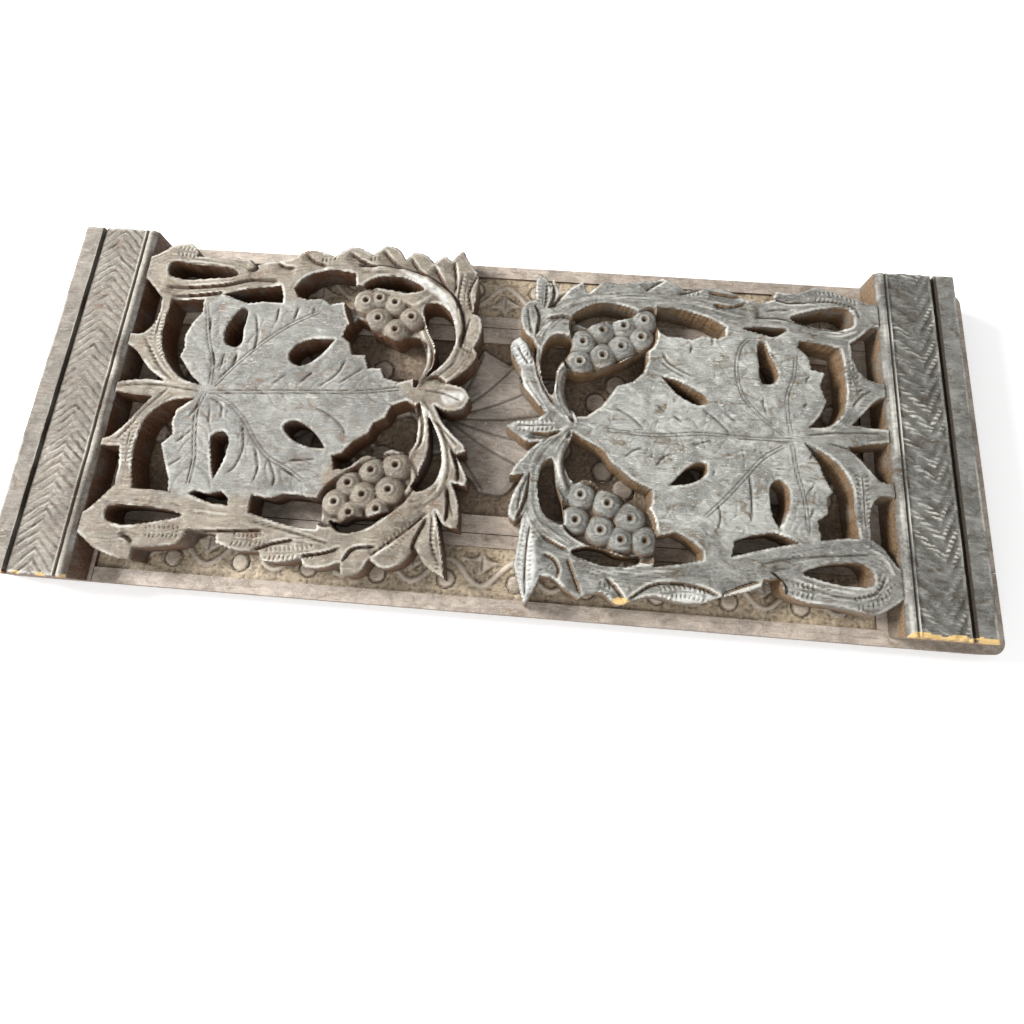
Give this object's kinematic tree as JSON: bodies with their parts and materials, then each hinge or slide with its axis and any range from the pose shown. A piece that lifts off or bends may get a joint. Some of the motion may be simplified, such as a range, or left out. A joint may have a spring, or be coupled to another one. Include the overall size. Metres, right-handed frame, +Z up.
{
  "type": "extending book slide",
  "caption": "Carved wooden extending book slide, shown closed: pierced vine leaf book ends fold flat on a grooved base that slides open.",
  "frame": {"origin": "middle of the closed slide, on the plane it stands on", "axes": "+X along the slide towards the fixed right end, +Y towards the back, +Z up"},
  "size_m": [0.38, 0.144, 0.0257],
  "materials": {
    "carved_walnut": "old waxed walnut, weathered to a dusty grey on top and brown in the cuts",
    "base_walnut": "old waxed walnut, grey brown, worn at the edges",
    "plain_walnut": "plain planed walnut",
    "brass_hinge": "dull aged brass",
    "steel_pin": "dull steel",
    "steel_screw": "dull steel"
  },
  "bodies": {
    "right_base": {"front_rail": "base_walnut", "back_rail": "base_walnut", "right_cross_cleat": "plain_walnut", "left_cross_cleat": "plain_walnut", "cleat_screws": "steel_screw", "right_base_hinge_screws": "steel_screw", "right_front_hinge_base_leaf": "brass_hinge", "right_front_hinge_pin": "steel_pin", "right_back_hinge_base_leaf": "brass_hinge", "right_back_hinge_pin": "steel_pin"},
    "left_base": {"centre_board": "base_walnut", "left_end_board": "base_walnut", "left_end_dowels": "plain_walnut", "stop_peg": "plain_walnut", "left_base_hinge_screws": "steel_screw", "left_front_hinge_base_leaf": "brass_hinge", "left_front_hinge_pin": "steel_pin", "left_back_hinge_base_leaf": "brass_hinge", "left_back_hinge_pin": "steel_pin"},
    "left_bookend": {"left_bookend": "carved_walnut", "left_bookend_hinge_screws": "steel_screw", "left_front_hinge_bookend_leaf": "brass_hinge", "left_back_hinge_bookend_leaf": "brass_hinge"},
    "right_bookend": {"right_bookend": "carved_walnut", "right_bookend_hinge_screws": "steel_screw", "right_front_hinge_bookend_leaf": "brass_hinge", "right_back_hinge_bookend_leaf": "brass_hinge"}
  },
  "joints": [
    {"name": "base_slide", "type": "slide", "parent": "right_base", "child": "left_base", "axis": [-1, 0, 0], "range_m": [0, 0.2]},
    {"name": "left_bookend_hinge", "type": "hinge", "parent": "left_base", "child": "left_bookend", "pos_m": [-0.18, 0, 0.0111], "axis": [0, -1, 0], "range_deg": [0, 90]},
    {"name": "right_bookend_hinge", "type": "hinge", "parent": "right_base", "child": "right_bookend", "pos_m": [0.18, 0, 0.0111], "axis": [0, 1, 0], "range_deg": [0, 90]}
  ]
}
